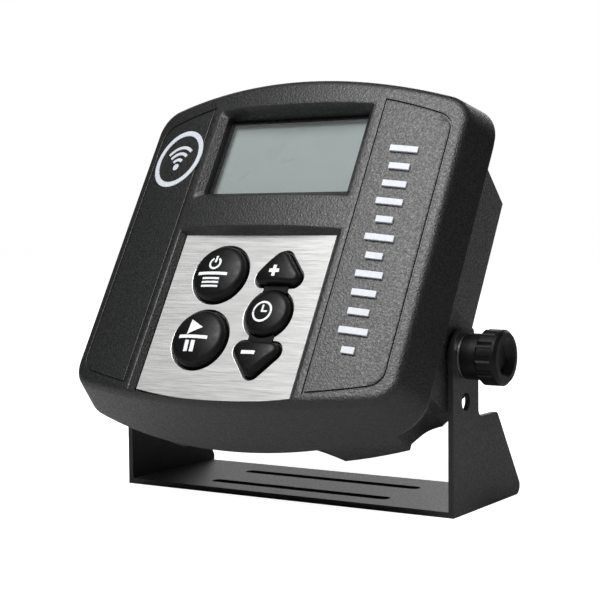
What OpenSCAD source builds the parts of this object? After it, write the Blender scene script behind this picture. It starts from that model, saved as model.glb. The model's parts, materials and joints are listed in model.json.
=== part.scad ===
// Control head of an electronic fishing sound unit on a tilting U bracket.
// Millimetres, +Z up, front towards -Y. The origin is the centre of the bracket
// base's bottom face. Inside head_frame() the axes are x = across the face,
// y = up along the face and z = out of the face, measured from the tilt pivot.

/* [Bracket] */
// outside width over the two legs
bracket_w = 138; // [134:0.5:144]
// depth of the base from front to back
bracket_d = 51; // [46:0.5:56]
// sheet thickness
sheet_t = 2; // [1.5:0.1:2.5]
// height of the tilt pivot above the mounting surface
pivot_z = 53.6; // [52:0.1:60]
// radius of the rounded top of each leg
ear_r = 9.6; // [9:0.1:11]
// length of each mounting slot
slot_len = 76; // [50:1:90]
// width of each mounting slot
slot_w = 5; // [4:0.1:6]
// distance between the two slots
slot_pitch = 22.6; // [16:0.2:28]
// diameter of the round hole in each leg
leg_hole_d = 6.2; // [4:0.1:7]

/* [Head] */
// lean of the face back from upright at rest, degrees
tilt = 30.5; // [0:0.5:60]
// radius of the bowed face
face_r = 225; // [180:5:400]
// distance of the middle of the face in front of the pivot
face_w = 43.1; // [43:0.1:44]
// wall thickness of both housing halves
wall = 2.6; // [2:0.1:2.8]
// slope of the front housing's side walls, degrees
draft = 17.5; // [15:0.5:18]
// depth of the pod behind the pivot
pod_back = 16; // [14:0.5:22]

/* [Display] */
// width of the clear opening over the display
view_w = 57; // [50:0.5:58]
// height of the clear opening over the display
view_h = 29.6; // [24:0.2:30]
// height of the display's centre above the pivot, along the face
view_v = 58.6; // [58:0.1:59]

/* [Keypad] */
// radius of the power and play keys
key_r = 10.5; // [9:0.1:10.8]
// radius of the delay key
delay_r = 8.6; // [8:0.1:8.8]
// corner radius of the two three-cornered keys
corner_key_r = 2.7; // [2:0.1:2.8]
// gap all round each key where it passes the housing
key_gap = 0.4; // [0.3:0.05:0.5]
// how far a key is pressed before it closes its contact
key_travel = 1; // [0.9:0.05:1.1]

/* [Knobs] */
// radius over the grip of each clamp knob
knob_r = 9.4; // [8.5:0.1:11]
// number of grip flutes round each knob
knob_flutes = 12; // [8:1:16]
// radius of the threaded stud
stud_r = 3; // [2.5:0.1:3.5]

/* [Hidden] */
$fn = 64;
big_fn = 360;           // smoothness of the large radii
eps = 0.01;             // overshoot of a cut past the surface it opens
gap = 0.05;             // clearance between parts fixed to one another
hair = 0.02;            // clearance of parts that only just fit round one another
long = 400;             // longer than the head in every direction
past_face = 60;         // plane in front of the whole face, in head_frame()
past_bottom = -60;      // below the head
past_top = 100;         // above the head

// bracket
half_w = bracket_w / 2;
half_d = bracket_d / 2;
pivot_y = -half_d + ear_r;
notch_y = 8.8;          // rear corner of the wide lower part of a leg
notch_z = 32;
leg_back_y = 30.2;      // where the sloping rear edge would meet the mounting surface
leg_lean = atan2(leg_back_y - notch_y, notch_z);
foot_r = 3;             // rounded rear lower corner of a leg
shoulder_r = 2;
notch_r = 2.6;
leg_hole_z = 38.2;
slot_mid_y = -2.3;
leg_bore_r = stud_r + 0.08;

// front housing, in head_frame()
back_w = 19;            // plane of the front housing's open back
rim_half = 70.1;        // half width at the open back
rim_top = 94.3;
rim_bottom = -48.2;
top_r = 240;            // radius of the arched top edge
bottom_r = 185;         // radius of the bowed bottom edge
rim_corner = 15;
slope = tan(draft);
corner_top_v = rim_top - top_r + sqrt(pow(top_r - rim_corner, 2) - pow(rim_half - rim_corner, 2));
corner_bottom_v = rim_bottom + bottom_r - sqrt(pow(bottom_r - rim_corner, 2) - pow(rim_half - rim_corner, 2));
CORNER_FACETS = [15, 30, 45, 60];
groove_w = 0.8;
groove_depth = 0.5;
panel_in = 36.1;        // inner edge of each side panel's groove
panel_half = 61.7;
panel_top = 81.3;
panel_bottom = -37.8;
panel_corner = 7;

// display stack, from the front backwards
bezel_w = 65.2;
bezel_h = 37.6;
bezel_v = 57.7;
bezel_foot = 36.4;        // inner end of the sloping frame round the display
lens_front = 35.6;
lens_t = 1.5;
seal_t = 1.4;
lip_front = 33.95;
lip_t = 0.5;
glass_front = 33.4;
glass_t = 2;
light_front = 31.3;
light_t = 1.7;
lcd_board_front = 29.5;
lcd_board_t = 1.3;
lcd_w = 72;
lcd_h = 42;
lens_w = 62;
lens_h = 34.6;

// keypad, from the front backwards
plate_front = 38.7;
plate_t = 1;
floor_front = plate_front - plate_t;
floor_back = 35.5;
recess_half = 33.4;
recess_top = 26.1;
recess_bottom = -39.6;
plate_half = 31.3;
plate_top = 25;
plate_bottom = -38.3;
round_u = -11;
power_v = 9;
play_v = -16.1;
trio_u = 13.5;          // column of the plus, delay and minus keys
trio_v = -5.6;
corner_tip = 20.6;      // from the middle of that column to the tip circle of a corner key
corner_base = 13.6;     // and to its two base circles
corner_half = 6;
corner_steps = 10;      // straight pieces round each of its corners
corner_lean = atan2(corner_half, corner_tip - corner_base);
CORNER_TIPS = [[0, corner_tip], [-corner_half, corner_base], [corner_half, corner_base]];
CORNER_TURNS = [corner_lean, 180 - corner_lean, 270, 360 + corner_lean];
neck_w = 10;
KEYS = ["power", "play", "plus", "delay", "minus"];
// middle of each key, in the order of KEYS
corner_mid = (corner_tip + 2 * corner_base) / 3;
KEY_MID = [[round_u, power_v], [round_u, play_v], [trio_u, trio_v + corner_mid],
    [trio_u, trio_v], [trio_u, trio_v - corner_mid]];
KEY_TOP = [42.6, 42.6, 42, 41.6, 42];
plate_gap = 1.1;        // dark margin of the plate round each key
flange_out = 0.9;
board_front = 26.6;
board_t = 1.6;
board_half = 54;
board_bottom = -33;
board_top = 74.5;
mat_half = 31;
mat_web_w = 31.2;
mat_web_t = 1.4;
mat_rim = 1.6;
pill_r = 2.5;
pill_t = 0.8;
plunger_r = 4;
dome_r = 34;            // radius of the domed key tops
dome_fn = 128;

// rear housing
cover_t = 2.5;
gasket_t = 0.8;
cover_in = 1.6;         // step in from the front housing's rim to the cover
pod_half = 63.2;
pod_half_back = 60.2;
pod_top = 72.9;
pod_top_back = 68.8;
lobe_bottom = -44.3;
cheek_u = 65.8;         // flat face turned to the bracket leg
cheek_top = 13.4;
cheek_bottom = -20.2;
scallop_r = 7;
middle_scallop_r = 120;
cover_front = back_w - gasket_t;
cover_back = cover_front - cover_t;
screw_r = 1.5;
screw_head_r = 2.7;
screw_head_t = 2;
screw_spots = [[48, 79.5], [60.5, -30]];
board_spots = [[49, -28], [49, 69]];
screw_clear = 0.2;      // round a screw where it passes a hole
boss_r = 3.8;

// pivot hardware
friction_t = 1.1;
insert_r = 4.6;
insert_in = 50;         // inner end of the insert, out from the middle of the head
insert_sunk = 0.2;      // outer end of the insert, in from the cheek's face
stud_clear = 0.3;       // round the stud in each washer
friction_r = 9;
clamp_washer_r = 7.2;
collar_r = 7.8;
grip_in = 76.1;
grip_out = 84;
dish_floor = grip_out - 2.4;
web_t = 2;              // knob material between the dish and the stud's end
stud_short = 0.2;
clamp_washer_t = 0.9;
clamp_gap = 0.1;
collar_in = half_w + clamp_washer_t + 2 * clamp_gap;

// amplifier and sockets
amp_front = -2;
amp_t = 1.6;
amp_half = 40;
amp_bottom = 2;
amp_top = 58;
amp_edge = 4;           // screw centres, in from the edges of the amplifier board
amp_spots = [for (v = [amp_bottom + amp_edge, amp_top - amp_edge]) [amp_half - amp_edge, v]];
socket_v = 12;
power_u = -20;
speaker_u = 20;
socket_r = 8;
socket_out = 9;
barrel_r = 6;
socket_bore = 4.6;
socket_flange_t = 2;
pin_r = 0.9;
pin_u = 1.9;            // each pin, out from the socket's middle

// marks on the face
badge_u = -47.5;
mark_t = 0.5;

// ---------------------------------------------------------------- helpers

module head_frame() {
    translate([0, pivot_y, pivot_z]) rotate([90 - tilt, 0, 0]) children();
}

module both_sides() {
    children();
    mirror([1, 0, 0]) children();
}

// plan of the housing: straight sides, arched top and bottom, round corners
module plan(half, top, bottom, r_top, r_bottom, r_corner) {
    corner_u = half - r_corner;
    top_y = top - r_top;
    bottom_y = bottom + r_bottom;
    corner_top = top_y + sqrt(pow(r_top - r_corner, 2) - pow(corner_u, 2));
    corner_bottom = bottom_y - sqrt(pow(r_bottom - r_corner, 2) - pow(corner_u, 2));
    intersection() {
        translate([-corner_u, bottom - 1]) square([2 * corner_u, top - bottom + 2]);
        translate([0, top_y]) circle(r = r_top, $fn = big_fn);
        translate([0, bottom_y]) circle(r = r_bottom, $fn = big_fn);
    }
    translate([-half, corner_bottom]) square([2 * half, corner_top - corner_bottom]);
    for (side = [-1, 1]) {
        translate([side * corner_u, corner_top]) circle(r = r_corner);
        translate([side * corner_u, corner_bottom]) circle(r = r_corner);
    }
}

// everything behind the bowed face, drawn in by a distance
module behind_face(inset) {
    translate([0, -long / 2, face_w - face_r]) rotate([-90, 0, 0])
        cylinder(r = face_r - inset, h = long, $fn = big_fn);
}

// thin layer lying on the bowed face between two heights
module face_layer(low, high) {
    difference() {
        behind_face(-high);
        behind_face(-low);
    }
}

// one straight stretch of the front housing's wall, facing a direction given by its
// turn from the u axis
module wall_wedge(turn, mid, inset, from_w) {
    far = 300;
    reach = rim_corner - inset;
    high = 80;
    translate(mid) rotate(turn) translate([0, far, 0]) rotate([90, 0, 0]) linear_extrude(2 * far)
        polygon([[-far, from_w], [reach + slope * (back_w - from_w), from_w],
            [reach + slope * (back_w - high), high], [-far, high]]);
}

// cylinder whose axis leans in the up-out plane, for the arched walls
module leaning_cylinder(v, w, lean, r) {
    translate([0, v, w]) rotate([lean, 0, 0]) translate([0, 0, -long / 2])
        cylinder(r = r, h = long, $fn = big_fn);
}

// solid shape of the front housing, drawn in by a distance on every wall
module front_solid(inset, from_w) {
    arch_r = top_r - inset;
    bow_r = bottom_r - inset;
    intersection() {
        behind_face(inset);
        leaning_cylinder(rim_top - inset - arch_r / cos(draft), back_w, draft, arch_r);
        leaning_cylinder(rim_bottom + inset + bow_r / cos(draft), back_w, -draft, bow_r);
        both_walls(0, [rim_half - rim_corner, 0], inset, from_w);
        intersection_for (turn = CORNER_FACETS) {
            both_walls(turn, [rim_half - rim_corner, corner_top_v], inset, from_w);
        }
        intersection_for (turn = CORNER_FACETS) {
            both_walls(-turn, [rim_half - rim_corner, corner_bottom_v], inset, from_w);
        }
    }
}

// the same wall on the left and on the right
module both_walls(turn, mid, inset, from_w) {
    intersection() {
        wall_wedge(turn, mid, inset, from_w);
        mirror([1, 0, 0]) wall_wedge(turn, mid, inset, from_w);
    }
}

module box_uvw(u0, u1, v0, v1, w0, w1) {
    translate([u0, v0, w0]) cube([u1 - u0, v1 - v0, w1 - w0]);
}

module centred_box(wide, high, mid_v, w0, w1) {
    box_uvw(-wide / 2, wide / 2, mid_v - high / 2, mid_v + high / 2, w0, w1);
}

// round hole through everything in front of the housing's open back
module bore(spot, r) {
    translate([spot[0], spot[1], back_w]) cylinder(r = r, h = past_face - back_w);
}

// a plan cut through everything in front of the housing's open back
module plan_through() {
    translate([0, 0, back_w]) linear_extrude(past_face - back_w) children();
}

// one extrusion across the head of a shape drawn in (up, out)
module across(half) {
    translate([-half, 0, 0]) rotate([90, 0, 90]) linear_extrude(2 * half) children();
}

// one extrusion along the pivot axis, starting at a distance from the middle
module along_pivot(from_u) {
    translate([from_u, 0, 0]) rotate([0, 90, 0]) children();
}

module ring(r_out, r_in, h) {
    difference() {
        cylinder(r = r_out, h = h);
        translate([0, 0, -eps]) cylinder(r = r_in, h = h + 2 * eps);
    }
}

// ---------------------------------------------------------------- bracket

// middle of a corner circle that touches the leg's sloping rear edge at height z
function rear_mid(z, r) = [leg_back_y - (r + z * sin(leg_lean)) / cos(leg_lean), z];

module leg_side() {
    foot = rear_mid(foot_r, foot_r);
    shoulder = rear_mid(notch_z - shoulder_r, shoulder_r);
    tongue_back = pivot_y + ear_r;
    difference() {
        union() {
            polygon(concat([[-half_d, 0]], arc(foot, foot_r, -90, leg_lean),
                arc(shoulder, shoulder_r, leg_lean, 90), [[-half_d, notch_z]]));
            translate([-half_d, 0]) square([2 * ear_r, pivot_z]);
            translate([pivot_y, pivot_z]) circle(r = ear_r);
            translate([tongue_back - eps, notch_z - eps]) square([notch_r, notch_r]);
        }
        translate([tongue_back + notch_r, notch_z + notch_r]) circle(r = notch_r);
        translate([pivot_y, leg_hole_z]) circle(d = leg_hole_d);
        translate([pivot_y, pivot_z]) circle(r = leg_bore_r);
    }
}

module slot(mid_y) {
    reach = (slot_len - slot_w) / 2;
    translate([-reach, mid_y - slot_w / 2, -1]) cube([2 * reach, slot_w, sheet_t + 2]);
    for (side = [-1, 1]) {
        translate([side * reach, mid_y, -1]) cylinder(d = slot_w, h = sheet_t + 2);
    }
}

module bracket() {
    color("#202123") difference() {
        union() {
            translate([-half_w, -half_d, 0]) cube([bracket_w, bracket_d, sheet_t]);
            for (x = [-half_w, half_w - sheet_t]) {
                translate([x, 0, 0]) rotate([90, 0, 90]) linear_extrude(sheet_t) leg_side();
            }
        }
        for (row = [-1, 1]) {
            slot(slot_mid_y + row * slot_pitch / 2);
        }
    }
}

// ---------------------------------------------------------------- keys

// points of an arc
function arc(mid, r, from, to) =
    [for (k = [0:corner_steps]) mid + r * unit_at(from + k / corner_steps * (to - from))];

// outline of a rounded triangle that points up (1) or down (-1)
function corner_outline(way, r) =
    [for (i = [0:2]) for (p = arc(CORNER_TIPS[i], r, CORNER_TURNS[i], CORNER_TURNS[i + 1])) way * p];

function unit_at(angle) = [cos(angle), sin(angle)];

// outline of one key by name, widened by a distance
module key_plan(name, grow) {
    if (name == "power") {
        translate([round_u, power_v]) circle(r = key_r + grow);
    }
    if (name == "play") {
        translate([round_u, play_v]) circle(r = key_r + grow);
    }
    if (name == "delay") {
        translate([trio_u, trio_v]) circle(r = delay_r + grow);
    }
    if (name == "plus") {
        translate([trio_u, trio_v]) polygon(corner_outline(1, corner_key_r + grow));
    }
    if (name == "minus") {
        translate([trio_u, trio_v]) polygon(corner_outline(-1, corner_key_r + grow));
    }
}

module key(i) {
    flange_top = floor_back - gap;
    flange_bottom = mat_web_w + mat_web_t + key_travel;
    pill_front = board_front + key_travel + pill_t;
    mid = KEY_MID[i];
    color("#151618") head_frame() {
        intersection() {
            translate([0, 0, flange_bottom]) linear_extrude(past_face - flange_bottom)
                key_plan(KEYS[i], 0);
            translate([mid[0], mid[1], KEY_TOP[i] - dome_r]) sphere(r = dome_r, $fn = dome_fn);
        }
        translate([0, 0, flange_bottom]) linear_extrude(flange_top - flange_bottom)
            key_plan(KEYS[i], flange_out);
        translate([mid[0], mid[1], pill_front])
            cylinder(r = plunger_r, h = flange_bottom - pill_front + eps);
    }
}

module pill(i) {
    mid = KEY_MID[i];
    color("#3a3a3c") head_frame()
        translate([mid[0], mid[1], board_front + key_travel]) cylinder(r = pill_r, h = pill_t);
}

// ---------------------------------------------------------------- front of the head

module panel_groove() {
    past_side = 80;
    over_face = 2;
    intersection() {
        linear_extrude(past_face) difference() {
            plan(panel_half, panel_top, panel_bottom, top_r, bottom_r, panel_corner);
            plan(panel_half - groove_w, panel_top - groove_w, panel_bottom + groove_w,
                top_r - groove_w, bottom_r - groove_w, panel_corner - groove_w);
        }
        face_layer(-groove_depth, over_face);
        both_sides() box_uvw(panel_in, past_side, past_bottom, past_top, back_w, past_face);
    }
    intersection() {
        linear_extrude(past_face) intersection() {
            plan(panel_half, panel_top, panel_bottom, top_r, bottom_r, panel_corner);
            union() both_sides() translate([panel_in, past_bottom])
                square([groove_w, past_top - past_bottom]);
        }
        face_layer(-groove_depth, over_face);
    }
}

module recess_plan(half, top, bottom) {
    intersection() {
        translate([-half, past_bottom]) square([2 * half, top - past_bottom]);
        translate([0, bottom + bottom_r]) circle(r = bottom_r, $fn = big_fn);
    }
}

// sloping frame that narrows from the face to the display window
module display_bevel() {
    top = [bezel_v - bezel_h / 2, bezel_v + bezel_h / 2];
    foot = [view_v - view_h / 2, view_v + view_h / 2];
    high = face_w + 1;
    intersection() {
        across(bezel_w)
            polygon([[foot[0], bezel_foot], [foot[1], bezel_foot], [top[1], high], [top[0], high]]);
        translate([0, past_top, 0]) rotate([90, 0, 0]) linear_extrude(past_top)
            polygon([[-view_w / 2, bezel_foot], [view_w / 2, bezel_foot],
                [bezel_w / 2, high], [-bezel_w / 2, high]]);
    }
}

module front_housing() {
    lens_rim = 4;           // block round the display window
    recess_rim = 2;         // block round the keypad plate's recess
    cover_hole = 12;        // depths of the screw holes
    board_hole = 8;
    color("#2b2c2d") head_frame() difference() {
        union() {
            difference() {
                front_solid(0, back_w);
                front_solid(wall, back_w - 1);
            }
            intersection() {
                front_solid(wall / 2, back_w);
                union() {
                    centred_box(lens_w + 2 * lens_rim, lens_h + 2 * lens_rim, view_v,
                        lens_front - lens_t, past_face);
                    box_uvw(-recess_half - recess_rim, recess_half + recess_rim,
                        past_bottom, recess_top + recess_rim, floor_back, past_face);
                    both_sides() for (spot = screw_spots) {
                        bore(spot, boss_r);
                    }
                    both_sides() for (spot = board_spots) {
                        translate([spot[0], spot[1], board_front + gap])
                            cylinder(r = boss_r, h = past_face - board_front);
                    }
                }
            }
        }
        display_bevel();
        centred_box(view_w, view_h, view_v, back_w, bezel_foot + eps);
        centred_box(lens_w + 2 * seal_t + 4 * gap, lens_h + 2 * seal_t + 4 * gap, view_v,
            back_w, lens_front + gap);
        translate([0, 0, floor_front]) linear_extrude(past_face - floor_front)
            recess_plan(recess_half, recess_top, recess_bottom);
        for (name = KEYS) {
            plan_through() key_plan(name, key_gap);
        }
        both_sides() for (spot = screw_spots) {
            translate([spot[0], spot[1], back_w - 1]) cylinder(r = screw_r + gap, h = cover_hole);
        }
        both_sides() for (spot = board_spots) {
            translate([spot[0], spot[1], board_front - 1]) cylinder(r = screw_r + gap, h = board_hole);
        }
        panel_groove();
    }
}

module display_window() {
    color([0.75, 0.8, 0.8, 0.35]) head_frame()
        centred_box(lens_w, lens_h, view_v, lens_front - lens_t, lens_front);
}

module window_seal() {
    color("#101010") head_frame() difference() {
        centred_box(lens_w + 2 * seal_t + 2 * gap, lens_h + 2 * seal_t + 2 * gap, view_v,
            lens_front - lens_t, lens_front);
        centred_box(lens_w + 2 * gap, lens_h + 2 * gap, view_v, back_w, past_face);
    }
}

module lcd_frame() {
    sight = 2;              // the frame's opening is this much larger than the clear view
    color("#3c3d3f") head_frame() difference() {
        centred_box(lcd_w, lcd_h, view_v, lcd_board_front + gap, lip_front);
        centred_box(lcd_w - 2 * lip_t, lcd_h - 2 * lip_t, view_v, back_w, lip_front - lip_t);
        centred_box(view_w + sight, view_h + sight, view_v, back_w, past_face);
    }
}

// flat layer of the display module
module lcd_layer(front, thick, edge) {
    head_frame()
        centred_box(lcd_w - 2 * lip_t - 2 * edge, lcd_h - 2 * lip_t - 2 * edge, view_v, front - thick, front);
}

module lcd_glass() {
    color("#a5afac") lcd_layer(glass_front, glass_t, 0.2);
}

module lcd_backlight() {
    color("#e6e6dc") lcd_layer(light_front, light_t, 0.4);
}

module lcd_board() {
    color("#1d5a34") lcd_layer(lcd_board_front, lcd_board_t, -0.8);
}

module lcd_header() {
    pins = 16;
    pitch = 2.54;
    header_v = view_v + 14.1;
    header_h = 2.4;
    hole_r = 0.45;
    color("#1a1a1a") head_frame() difference() {
        centred_box(pins * pitch, header_h, header_v, board_front + gap,
            lcd_board_front - lcd_board_t - gap);
        for (i = [0:pins - 1]) {
            bore([(i - (pins - 1) / 2) * pitch, header_v], hole_r);
        }
    }
}

module keypad_plate() {
    color("#c9cbcc") head_frame() difference() {
        translate([0, 0, floor_front + eps]) linear_extrude(plate_t)
            recess_plan(plate_half, plate_top, plate_bottom);
        for (name = KEYS) {
            plan_through() key_plan(name, plate_gap);
        }
        box_uvw(trio_u - neck_w / 2, trio_u + neck_w / 2, trio_v - corner_base - 1,
            trio_v + corner_base + 1, back_w, past_face);
    }
}

module keypad_mat() {
    mat_v = [plate_bottom + 6, plate_top - 1];
    in_u = mat_half - mat_rim;
    in_v = [mat_v[0] + mat_rim, mat_v[1] - mat_rim];
    color("#1c1d1f") head_frame() difference() {
        box_uvw(-mat_half, mat_half, mat_v[0], mat_v[1], board_front + gap, floor_back - gap);
        box_uvw(-in_u, in_u, in_v[0], in_v[1], mat_web_w + mat_web_t, past_face);
        box_uvw(-in_u, in_u, in_v[0], in_v[1], back_w, mat_web_w);
        for (mid = KEY_MID) {
            bore(mid, plunger_r + key_gap);
        }
    }
}

// ---------------------------------------------------------------- electronics

module main_board() {
    color("#1f6b3a") head_frame() difference() {
        box_uvw(-board_half, board_half, board_bottom, board_top, board_front - board_t, board_front);
        both_sides() for (spot = board_spots) {
            bore(spot, screw_r + screw_clear);
        }
    }
}

module board_chips() {
    back = board_front - board_t - gap;
    // lower corner across and up, then width, height and thickness
    chips = [[-20, 40, 14, 14, 1.6], [12, 36, 9, 11, 1.8], [34, 8, 10, 8, 2.2], [-36, 6, 8, 12, 1.4],
        [0, 4, 7, 5, 1.5], [20, -14, 6, 6, 3]];
    color("#141414") head_frame() for (c = chips) {
        box_uvw(c[0], c[0] + c[2], c[1], c[1] + c[3], back - c[4], back);
    }
}

module board_cable() {
    half = 9;
    cable_v = 50;
    cable_t = 1.2;
    short = 2.15;           // the cable ends this far behind the main board
    color("#8d8f92") head_frame()
        box_uvw(-half, half, cable_v, cable_v + cable_t, amp_front + gap, board_front - board_t - short);
}

module screws(spots, head_back, head_t, reach) {
    drive_r = 1.3;
    drive_depth = 1.2;
    color("#8f9194") head_frame() both_sides() for (spot = spots) {
        translate([spot[0], spot[1], head_back]) {
            difference() {
                cylinder(r = screw_head_r, h = head_t);
                translate([0, 0, -eps]) cylinder(r = drive_r, h = drive_depth, $fn = 6);
            }
            cylinder(r = screw_r, h = head_t + reach);
        }
    }
}

module board_screws() {
    screws(board_spots, board_front - board_t - screw_head_t - gap, screw_head_t, reach = 7);
}

module housing_screws() {
    screws(screw_spots, cover_back - screw_head_t - gap, screw_head_t, reach = 12);
}

module amplifier_board() {
    color("#1f6b3a") head_frame() difference() {
        box_uvw(-amp_half, amp_half, amp_bottom, amp_top, amp_front - amp_t, amp_front);
        both_sides() for (spot = amp_spots) {
            translate([spot[0], spot[1], amp_front - amp_t - 1])
                cylinder(r = screw_r + screw_clear, h = amp_t + 2);
        }
    }
}

module amplifier_screws() {
    head_t = 1.8;
    reach = 6;
    color("#8f9194") head_frame() both_sides() for (spot = amp_spots) {
        translate([spot[0], spot[1], amp_front + gap]) cylinder(r = screw_head_r, h = head_t);
        translate([spot[0], spot[1], amp_front - reach]) cylinder(r = screw_r, h = reach + head_t);
    }
}

module amplifier_chip() {
    color("#161616") head_frame() box_uvw(-26, -10, 14, 18, amp_front + gap, amp_front + 12);
}

module heat_sink() {
    fins = 5;
    pitch = 4.2;
    fin_t = 1.4;
    first_u = -28;
    base_u = [-30, -6];
    base_v = 18.1;
    base_t = 2.5;
    size = 14;              // up to the fins' tips, and out from the board
    front = amp_front + size;
    color("#a7aaad") head_frame() {
        box_uvw(base_u[0], base_u[1], base_v, base_v + base_t, amp_front + gap, front);
        for (i = [0:fins - 1]) {
            fin_u = first_u + i * pitch;
            box_uvw(fin_u, fin_u + fin_t, base_v + 2, base_v + size, amp_front + gap, front);
        }
    }
}

module capacitors() {
    // middle across and up, then radius
    cans = [[8, 18, 5], [20, 18, 5], [8, 32, 5], [20, 32, 4], [30, 42, 3.2]];
    tall = 2.4;             // height of a can in radii
    color("#27307a") head_frame() for (c = cans) {
        translate([c[0], c[1], amp_front + gap]) cylinder(r = c[2], h = tall * c[2]);
    }
}

// ---------------------------------------------------------------- rear of the head

module pod_plan(inset) {
    side_u = 64.2;
    side_v = -27.4;
    middle_v = -156.2;
    far = 30;
    reach = scallop_r + inset;
    difference() {
        intersection() {
            translate([-pod_half + inset, past_bottom])
                square([2 * (pod_half - inset), pod_top - inset - past_bottom]);
            translate([0, lobe_bottom + bottom_r]) circle(r = bottom_r - inset, $fn = big_fn);
        }
        translate([0, middle_v]) circle(r = middle_scallop_r + inset, $fn = big_fn);
        for (side = [-1, 1]) {
            translate([side * side_u, side_v]) {
                circle(r = reach);
                translate([side > 0 ? -reach : reach - far, -far]) square([far, far]);
                translate([side > 0 ? 0 : -far, -far]) square([far, far + reach]);
            }
        }
    }
}

module pod_solid(inset) {
    under_v = [-17, -33];   // sloping underside, at the pod's back and in the pivot's plane
    low = tan(22.5) * inset;
    front = cover_front + (inset > 0 ? 1 : 0);
    intersection() {
        translate([0, 0, -pod_back - 1]) linear_extrude(front + pod_back + 1) pod_plan(inset);
        translate([0, past_top, 0]) rotate([90, 0, 0]) linear_extrude(past_top - past_bottom)
            polygon([[-pod_half + inset, back_w], [pod_half - inset, back_w],
                [pod_half_back - inset, -pod_back + inset], [-pod_half_back + inset, -pod_back + inset]]);
        across(rim_half) polygon([[pod_top - inset, back_w], [pod_top_back - inset, -pod_back + inset],
            [under_v[0] + low, -pod_back + inset], [under_v[1] + low, inset],
            [past_bottom, inset], [past_bottom, back_w]]);
    }
}

module cheeks() {
    rear = -12;
    nose = 5;
    root_u = pod_half_back - 6;
    front = cover_back + eps;
    both_sides() translate([root_u, 0, 0]) rotate([90, 0, 90]) linear_extrude(cheek_u - root_u)
        polygon([[cheek_top, front], [cheek_top, rear + nose], [cheek_top - nose, rear],
            [cheek_bottom + 2 * nose, rear], [cheek_bottom, rear + 2 * nose], [cheek_bottom, front]]);
}

module rear_housing() {
    boss_in = insert_in - 1.5;
    pivot_boss_r = 8;
    post_r = 3.2;
    post_back = -pod_back + 1;
    color("#242526") head_frame() difference() {
        union() {
            difference() {
                union() {
                    translate([0, 0, cover_back]) linear_extrude(cover_t)
                        plan(rim_half - cover_in, rim_top - cover_in, rim_bottom + cover_in,
                            top_r - cover_in, bottom_r - cover_in, rim_corner - cover_in);
                    pod_solid(0);
                    cheeks();
                }
                pod_solid(wall);
            }
            both_sides() along_pivot(boss_in) cylinder(r = pivot_boss_r, h = pod_half_back - boss_in);
            both_sides() for (spot = amp_spots) {
                translate([spot[0], spot[1], post_back])
                    cylinder(r = post_r, h = amp_front - amp_t - gap - post_back);
            }
        }
        both_sides() along_pivot(insert_in - gap) cylinder(r = insert_r + hair, h = cheek_u - insert_in + 1);
        both_sides() for (spot = amp_spots) {
            translate([spot[0], spot[1], post_back + 2]) cylinder(r = screw_r + gap, h = back_w);
        }
        both_sides() for (spot = screw_spots) {
            translate([spot[0], spot[1], cover_back - 1])
                cylinder(r = screw_r + screw_clear, h = cover_t + 2);
        }
        for (u = [power_u, speaker_u]) {
            translate([u, socket_v, -pod_back - 1]) cylinder(r = barrel_r + gap, h = wall + 2);
        }
    }
}

module housing_gasket() {
    ring_w = 3.4;
    step = cover_in + 0.4;
    hole_r = screw_r + 0.4;
    color("#0f0f10") head_frame() difference() {
        translate([0, 0, cover_front + hair]) linear_extrude(gasket_t - 2 * hair) difference() {
            plan(rim_half - step, rim_top - step, rim_bottom + step,
                top_r - step, bottom_r - step, rim_corner - step);
            plan(rim_half - step - ring_w, rim_top - step - ring_w, rim_bottom + step + ring_w,
                top_r - step - ring_w, bottom_r - step - ring_w, rim_corner - step - ring_w);
        }
        both_sides() for (spot = screw_spots) {
            translate([spot[0], spot[1], cover_front - 1]) cylinder(r = hole_r, h = gasket_t + 2);
        }
    }
}

module socket(u) {
    outer = -pod_back - socket_out;
    inner = -pod_back + 6;
    web = 3;                // the bore goes this far past the pod's back
    color("#1a1b1c") head_frame() translate([u, socket_v, 0]) difference() {
        union() {
            translate([0, 0, outer]) cylinder(r = barrel_r, h = inner - outer);
            translate([0, 0, -pod_back - socket_flange_t - gap]) cylinder(r = socket_r, h = socket_flange_t);
        }
        translate([0, 0, outer - 1]) cylinder(r = socket_bore, h = socket_out + web);
        for (side = [-1, 1]) {
            translate([side * pin_u, 0, outer]) cylinder(r = pin_r + hair, h = long);
        }
    }
}

module pins(u) {
    outer = -pod_back - socket_out;
    sunk = 5;               // pin tips, in from the socket's mouth
    pin_len = socket_out + 2.5;
    color("#c9a24a") head_frame() for (side = [-1, 1]) {
        translate([u + side * pin_u, socket_v, outer + sunk]) cylinder(r = pin_r, h = pin_len);
    }
}

module power_inlet() {
    socket(power_u);
}

module power_pins() {
    pins(power_u);
}

module speaker_socket() {
    socket(speaker_u);
}

module speaker_pins() {
    pins(speaker_u);
}

module socket_nuts() {
    nut_r = barrel_r + 2.6;
    nut_t = 2.4;
    color("#8f9194") head_frame() for (u = [power_u, speaker_u]) {
        translate([u, socket_v, -pod_back + wall + gap]) difference() {
            cylinder(r = nut_r, h = nut_t, $fn = 6);
            translate([0, 0, -1]) cylinder(r = barrel_r + hair, h = nut_t + 2);
        }
    }
}

module pivot_inserts() {
    color("#b08d3c") head_frame() both_sides() along_pivot(insert_in)
        ring(insert_r, stud_r + gap, cheek_u - insert_in - insert_sunk);
}

module friction_washers() {
    color("#3a3a3a") head_frame() both_sides() along_pivot(cheek_u + hair)
        ring(friction_r, stud_r + stud_clear, friction_t);
}

// ---------------------------------------------------------------- face marks

module badge_ring() {
    out_r = 12;
    in_r = 9.9;
    color("#e8e9ea") head_frame() intersection() {
        face_layer(hair, mark_t);
        translate([badge_u, bezel_v, 0]) ring(out_r, in_r, past_face);
    }
}

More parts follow.
